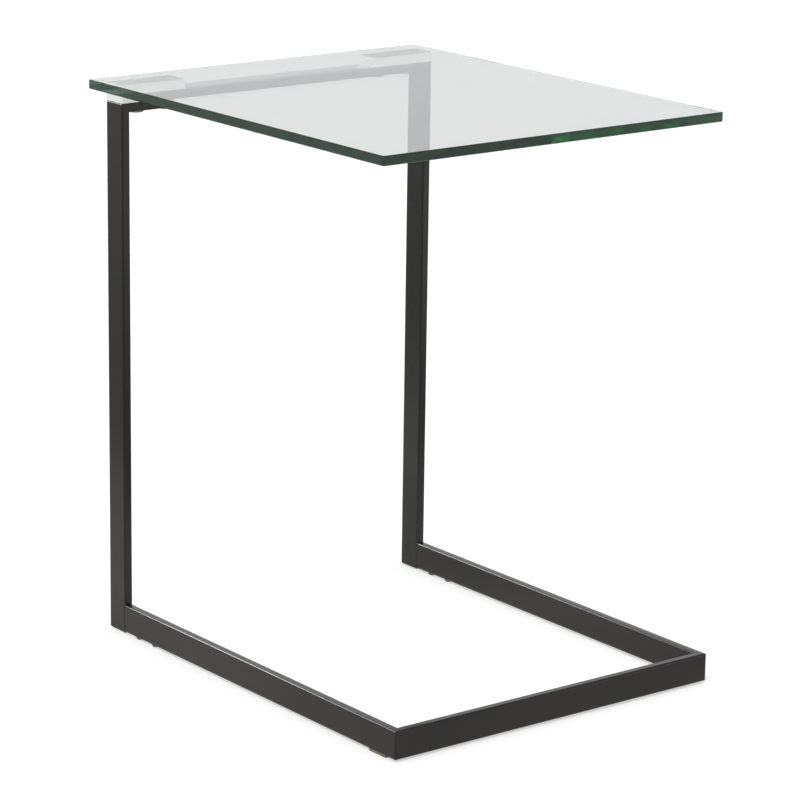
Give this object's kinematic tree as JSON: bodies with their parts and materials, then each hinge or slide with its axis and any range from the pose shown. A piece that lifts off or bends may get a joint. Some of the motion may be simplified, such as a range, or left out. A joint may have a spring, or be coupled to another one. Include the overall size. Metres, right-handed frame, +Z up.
{
  "type": "c shaped side table",
  "caption": "C shaped side table: a clear glass sheet, bonded to metal plates along its rear edge, on a slim black frame of flat rectangular tube with an open-backed base.",
  "frame": {"origin": "on the floor, at the middle of the overall width and depth", "axes": "+Z up, +X to the right seen from the front, -Y towards the open side of the C, where the front bar lies; the posts stand at +Y"},
  "size_m": [0.43, 0.527, 0.6],
  "materials": {
    "float_glass": "clear float glass, polished edges that look dark green",
    "clear_adhesive": "cured clear adhesive",
    "anodised_aluminium": "natural satin anodised",
    "grey_zinc": "dull grey zinc-nickel plate",
    "yellow_zinc": "yellow passivated zinc plate",
    "black_powder_coat": "satin black powder coat on steel",
    "khaki_felt": "pressed felt",
    "black_polyethylene": "moulded, fine matt texture"
  },
  "bodies": {
    "root": {"glass_top": "float_glass", "left_plate_bond": "clear_adhesive", "right_plate_bond": "clear_adhesive", "left_mount_plate": "anodised_aluminium", "right_mount_plate": "anodised_aluminium", "plate_washers": "grey_zinc", "plate_screws": "grey_zinc", "top_rail": "black_powder_coat", "left_post": "black_powder_coat", "right_post": "black_powder_coat", "left_spigot": "black_powder_coat", "right_spigot": "black_powder_coat", "left_runner": "black_powder_coat", "right_runner": "black_powder_coat", "front_bar": "black_powder_coat", "joint_screws": "yellow_zinc", "front_left_pad": "khaki_felt", "front_right_pad": "khaki_felt", "left_post_plug": "black_polyethylene", "right_post_plug": "black_polyethylene"}
  },
  "joints": []
}
